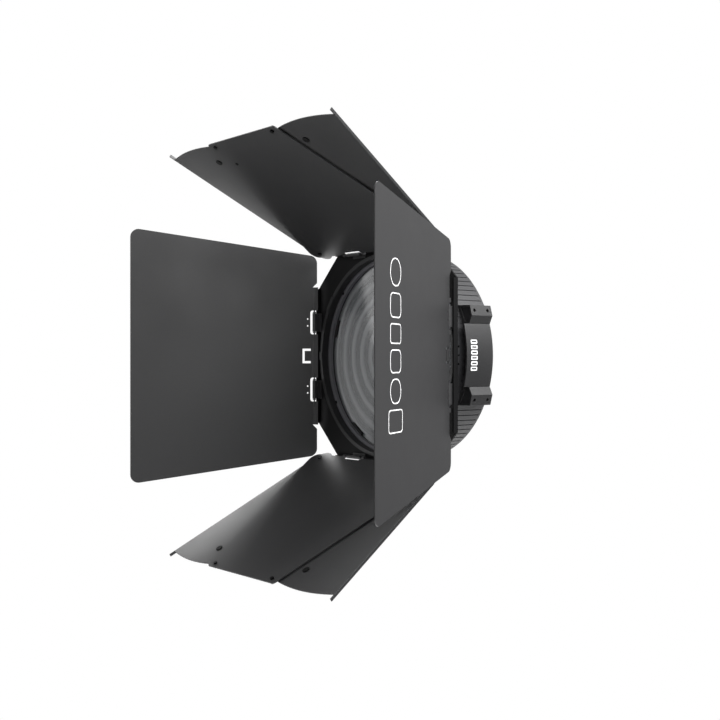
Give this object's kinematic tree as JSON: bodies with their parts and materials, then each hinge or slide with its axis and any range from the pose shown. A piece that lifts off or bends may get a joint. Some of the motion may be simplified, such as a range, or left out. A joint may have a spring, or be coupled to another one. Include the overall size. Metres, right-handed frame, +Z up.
{
  "type": "barn door attachment",
  "caption": "Four-leaf barn doors with swinging wings on a turning eight-sided frame, fitted to a ribbed round housing that holds a stepped lens.",
  "frame": {"origin": "centre of the rear mounting face, on the beam axis", "axes": "+Z up, light travels along -Y, +X to the right seen from behind the camera side of the doors"},
  "size_m": [0.629, 0.3942, 0.6374],
  "materials": {
    "black_sheet": "satin powder coat",
    "black_casting": "satin powder coat, finely textured",
    "drum_coat": "satin powder coat",
    "black_screw": "black oxide",
    "pin_steel": "plain satin",
    "lens_glass": "pressed glass, stepped",
    "black_rubber": "matt silicone",
    "machined_ring": "black anodised",
    "glide_plastic": "moulded"
  },
  "bodies": {
    "housing": {"drum_housing": "drum_coat", "front_ring": "drum_coat", "front_ring_screws": "black_screw", "lens_retaining_ring": "machined_ring", "lens_ring_screws": "black_screw", "lens_clips": "machined_ring", "lens_gasket": "black_rubber", "fresnel_lens": "lens_glass", "lens_seat_ring": "machined_ring", "light_baffle": "black_sheet", "rear_cover": "black_casting", "rear_cover_screws": "black_screw", "rear_barrel": "machined_ring", "mount_ring": "machined_ring", "mount_screws": "black_screw", "side_guard_right": "black_casting", "side_guard_left": "black_casting", "guard_blocks_right": "black_casting", "guard_blocks_left": "black_casting", "guard_screws": "black_screw"},
    "turning_frame": {"frame_pan": "black_casting", "rotation_collar": "machined_ring", "collar_retainer": "machined_ring", "collar_stop_tab": "machined_ring", "index_keys": "machined_ring", "hinge_brackets_right": "black_sheet", "hinge_brackets_top": "black_sheet", "hinge_brackets_left": "black_sheet", "hinge_brackets_bottom": "black_sheet", "hinge_bracket_rivets": "black_screw"},
    "door_right": {"door_right": "black_sheet", "hinge_pins_right": "pin_steel"},
    "door_left": {"door_left": "black_sheet", "hinge_pins_left": "pin_steel"},
    "door_top": {"leaf_top": "black_sheet", "hinge_pins_top": "pin_steel", "wing_pivots_top": "black_screw", "wing_guides_top": "black_screw", "top_plug_rivet": "black_screw"},
    "door_bottom": {"leaf_bottom": "black_sheet", "hinge_pins_bottom": "pin_steel", "wing_pivots_bottom": "black_screw", "wing_guides_bottom": "black_screw"},
    "wing_top_left": {"wing_top_left": "black_sheet", "glide_button_top_left": "glide_plastic"},
    "wing_top_right": {"wing_top_right": "black_sheet", "glide_button_top_right": "glide_plastic"},
    "wing_bottom_left": {"wing_bottom_left": "black_sheet", "glide_button_bottom_left": "glide_plastic"},
    "wing_bottom_right": {"wing_bottom_right": "black_sheet", "glide_button_bottom_right": "glide_plastic"}
  },
  "joints": [
    {"name": "frame_rotation", "type": "hinge", "parent": "housing", "child": "turning_frame", "pos_m": [0, -0.12, 0], "axis": [0, -1, 0], "continuous": true},
    {"name": "right_door_hinge", "type": "hinge", "parent": "turning_frame", "child": "door_right", "pos_m": [0.1646, -0.1261, 0], "axis": [0, 0, -1], "range_deg": [-60, 44]},
    {"name": "left_door_hinge", "type": "hinge", "parent": "turning_frame", "child": "door_left", "pos_m": [-0.1646, -0.1261, 0], "axis": [0, 0, 1], "range_deg": [-60, 44]},
    {"name": "top_door_hinge", "type": "hinge", "parent": "turning_frame", "child": "door_top", "pos_m": [0, -0.1261, 0.1646], "axis": [-1, 0, 0], "range_deg": [-60, 59]},
    {"name": "bottom_door_hinge", "type": "hinge", "parent": "turning_frame", "child": "door_bottom", "pos_m": [0, -0.1261, -0.1646], "axis": [1, 0, 0], "range_deg": [-60, 59]},
    {"name": "top_left_wing_pivot", "type": "hinge", "parent": "door_top", "child": "wing_top_left", "pos_m": [-0.1354, -0.13623, 0.17045], "axis": [0, -0.5, -0.866], "range_deg": [-10.5, 0]},
    {"name": "top_right_wing_pivot", "type": "hinge", "parent": "door_top", "child": "wing_top_right", "pos_m": [0.1354, -0.13623, 0.17045], "axis": [0, 0.5, 0.866], "range_deg": [-10.5, 0]},
    {"name": "bottom_left_wing_pivot", "type": "hinge", "parent": "door_bottom", "child": "wing_bottom_left", "pos_m": [-0.1354, -0.13623, -0.17045], "axis": [0, 0.5, -0.866], "range_deg": [-10.5, 0]},
    {"name": "bottom_right_wing_pivot", "type": "hinge", "parent": "door_bottom", "child": "wing_bottom_right", "pos_m": [0.1354, -0.13623, -0.17045], "axis": [0, -0.5, 0.866], "range_deg": [-10.5, 0]}
  ]
}
